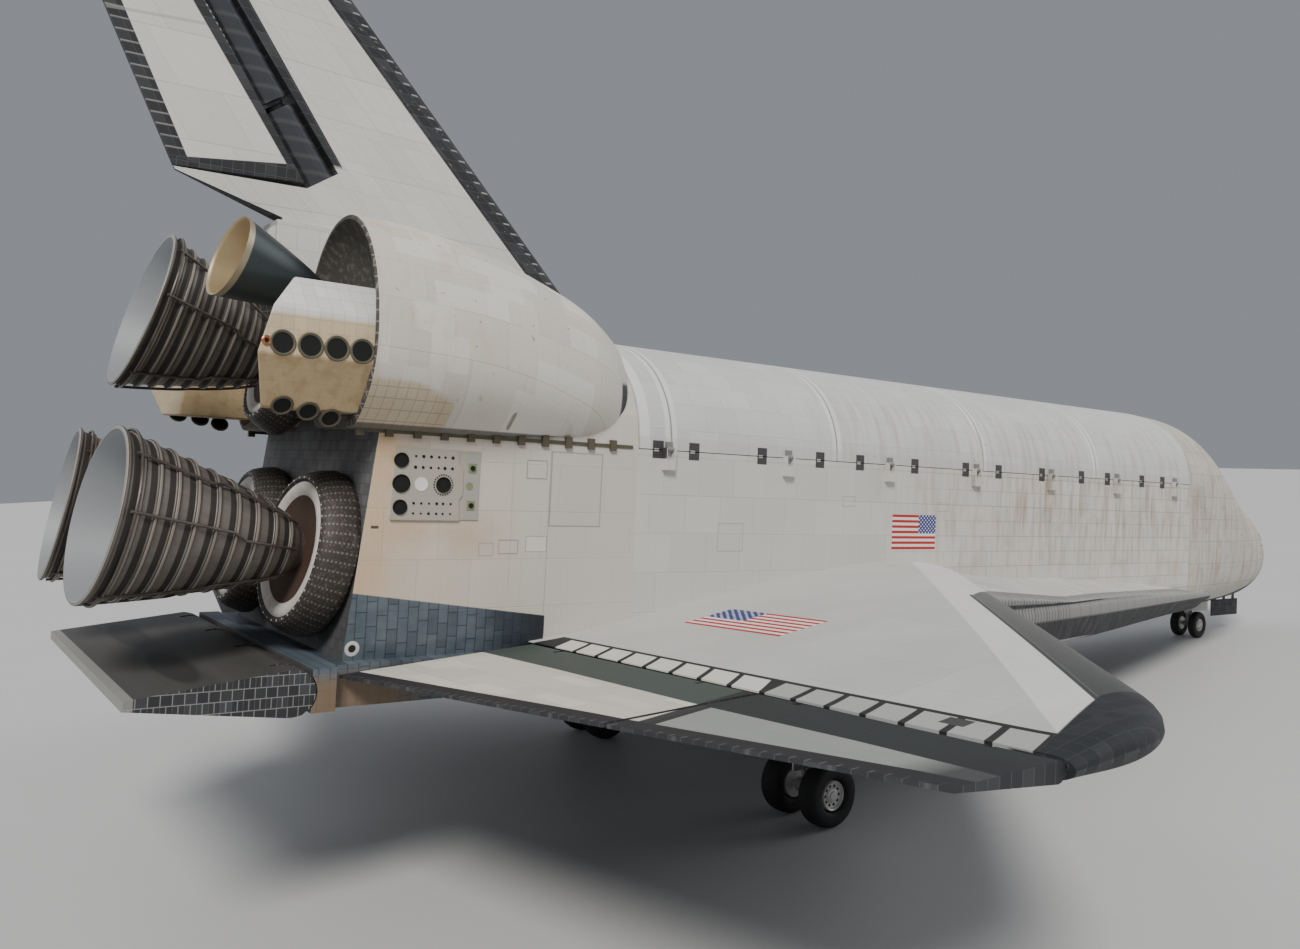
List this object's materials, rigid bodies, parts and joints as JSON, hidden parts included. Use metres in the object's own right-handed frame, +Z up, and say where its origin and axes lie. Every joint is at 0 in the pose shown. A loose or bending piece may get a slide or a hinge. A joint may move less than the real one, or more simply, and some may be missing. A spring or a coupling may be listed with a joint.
{
  "type": "space shuttle orbiter",
  "caption": "Winged space orbiter parked on its landing gear, with opening bay doors, crew hatch, control surfaces and turning wheels.",
  "frame": {"origin": "on the floor, under the middle of the bounding box", "axes": "+X to starboard, +Y towards the nose, level with the floor, +Z up; the airframe stands 4.8 degrees nose down"},
  "size_m": [23.7744, 36.0878, 17.5017],
  "materials": {
    "tile_white": "matte",
    "blanket": "matte",
    "door_white": "matte",
    "tile_black": "satin",
    "carbon": "satin",
    "gear_metal": "satin",
    "nozzle": "satin",
    "heat_shield": "matte",
    "glass": "gloss",
    "rubber": "matte",
    "cabin_grey": "matte"
  },
  "bodies": {
    "airframe": {"forward_fuselage": "tile_white", "nose_cap": "carbon", "forward_thruster_module": "tile_white", "windshield_glass": "glass", "overhead_glass": "glass", "aft_deck_glass": "glass", "flight_deck": "cabin_grey", "mid_fuselage": "tile_white", "aft_fuselage": "blanket", "fin": "blanket", "drag_chute_housing": "tile_white", "nose_gear_leg": "gear_metal", "upper_engine_dome": "heat_shield", "upper_engine_nozzle": "nozzle", "port_lower_engine_dome": "heat_shield", "port_lower_engine_nozzle": "nozzle", "starboard_lower_engine_dome": "heat_shield", "starboard_lower_engine_nozzle": "nozzle", "port_wing": "blanket", "port_leading_edge": "carbon", "port_tail_pod": "blanket", "port_pod_nozzle": "nozzle", "port_umbilical_panel": "gear_metal", "port_main_gear_leg": "gear_metal", "port_main_gear_door": "tile_black", "port_nose_gear_door": "tile_black", "starboard_wing": "blanket", "starboard_leading_edge": "carbon", "starboard_tail_pod": "blanket", "starboard_pod_nozzle": "nozzle", "starboard_umbilical_panel": "gear_metal", "starboard_main_gear_leg": "gear_metal", "starboard_main_gear_door": "tile_black", "starboard_nose_gear_door": "tile_black"},
    "crew_hatch": {"crew_hatch": "tile_white"},
    "body_flap": {"body_flap": "tile_black"},
    "rudder": {"rudder_spar": "heat_shield"},
    "starboard_rudder_panel": {"starboard_rudder_panel": "blanket"},
    "port_rudder_panel": {"port_rudder_panel": "blanket"},
    "nose_fork": {"nose_fork": "gear_metal"},
    "nose_wheels": {"nose_axle_and_rims": "gear_metal", "port_nose_tyre": "rubber", "starboard_nose_tyre": "rubber"},
    "port_bay_door": {"port_bay_door": "door_white"},
    "port_inboard_elevon": {"port_inboard_elevon": "blanket"},
    "port_outboard_elevon": {"port_outboard_elevon": "blanket"},
    "port_main_wheels": {"port_main_axle_and_rims": "gear_metal", "port_main_inner_tyre": "rubber", "port_main_outer_tyre": "rubber"},
    "starboard_bay_door": {"starboard_bay_door": "door_white"},
    "starboard_inboard_elevon": {"starboard_inboard_elevon": "blanket"},
    "starboard_outboard_elevon": {"starboard_outboard_elevon": "blanket"},
    "starboard_main_wheels": {"starboard_main_axle_and_rims": "gear_metal", "starboard_main_inner_tyre": "rubber", "starboard_main_outer_tyre": "rubber"}
  },
  "joints": [
    {"name": "crew_hatch_hinge", "type": "hinge", "parent": "airframe", "child": "crew_hatch", "pos_m": [-2.52984, 11.06433, 2.64914], "axis": [0, -0.9965, 0.0837], "range_deg": [0, 90]},
    {"name": "body_flap_hinge", "type": "hinge", "parent": "airframe", "child": "body_flap", "pos_m": [0, -14.87908, 3.61692], "axis": [1, 0, 0], "range_deg": [-11.7, 22.5]},
    {"name": "rudder_turn", "type": "hinge", "parent": "airframe", "child": "rudder", "pos_m": [0, -13.33866, 11.08341], "axis": [0, -0.4982, 0.867], "range_deg": [-27.1, 27.1]},
    {"name": "starboard_speed_brake", "type": "hinge", "parent": "rudder", "child": "starboard_rudder_panel", "pos_m": [0, -13.33866, 11.08341], "axis": [0, -0.4982, 0.867], "range_deg": [0, 49.3]},
    {"name": "port_speed_brake", "type": "hinge", "parent": "rudder", "child": "port_rudder_panel", "pos_m": [0, -13.33866, 11.08341], "axis": [0, 0.4982, -0.867], "range_deg": [0, 49.3]},
    {"name": "nose_steering", "type": "hinge", "parent": "airframe", "child": "nose_fork", "pos_m": [0, 14.26609, 0.4064], "axis": [0, 0.0837, 0.9965], "range_deg": [-10, 10]},
    {"name": "nose_wheel_spin", "type": "hinge", "parent": "nose_fork", "child": "nose_wheels", "pos_m": [0, 14.26609, 0.4064], "axis": [1, 0, 0], "continuous": true},
    {"name": "port_bay_door_hinge", "type": "hinge", "parent": "airframe", "child": "port_bay_door", "pos_m": [-2.65176, -1.11611, 6.02973], "axis": [0, -0.9965, 0.0837], "range_deg": [0, 175.5]},
    {"name": "port_inboard_elevon_hinge", "type": "hinge", "parent": "airframe", "child": "port_inboard_elevon", "pos_m": [-2.8448, -11.1994, 3.42303], "axis": [0.998, -0.0053, -0.0628], "range_deg": [-35, 20]},
    {"name": "port_outboard_elevon_hinge", "type": "hinge", "parent": "airframe", "child": "port_outboard_elevon", "pos_m": [-7.9756, -11.17228, 3.74595], "axis": [0.998, -0.0053, -0.0628], "range_deg": [-35, 20]},
    {"name": "port_main_wheel_spin", "type": "hinge", "parent": "airframe", "child": "port_main_wheels", "pos_m": [-3.4544, -5.977, 0.56515], "axis": [1, 0, 0], "continuous": true},
    {"name": "starboard_bay_door_hinge", "type": "hinge", "parent": "airframe", "child": "starboard_bay_door", "pos_m": [2.65176, -1.11611, 6.02973], "axis": [0, 0.9965, -0.0837], "range_deg": [0, 175.5]},
    {"name": "starboard_inboard_elevon_hinge", "type": "hinge", "parent": "airframe", "child": "starboard_inboard_elevon", "pos_m": [2.8448, -11.1994, 3.42303], "axis": [0.998, 0.0053, 0.0628], "range_deg": [-35, 20]},
    {"name": "starboard_outboard_elevon_hinge", "type": "hinge", "parent": "airframe", "child": "starboard_outboard_elevon", "pos_m": [7.9756, -11.17228, 3.74595], "axis": [0.998, 0.0053, 0.0628], "range_deg": [-35, 20]},
    {"name": "starboard_main_wheel_spin", "type": "hinge", "parent": "airframe", "child": "starboard_main_wheels", "pos_m": [3.4544, -5.977, 0.56515], "axis": [1, 0, 0], "continuous": true}
  ]
}
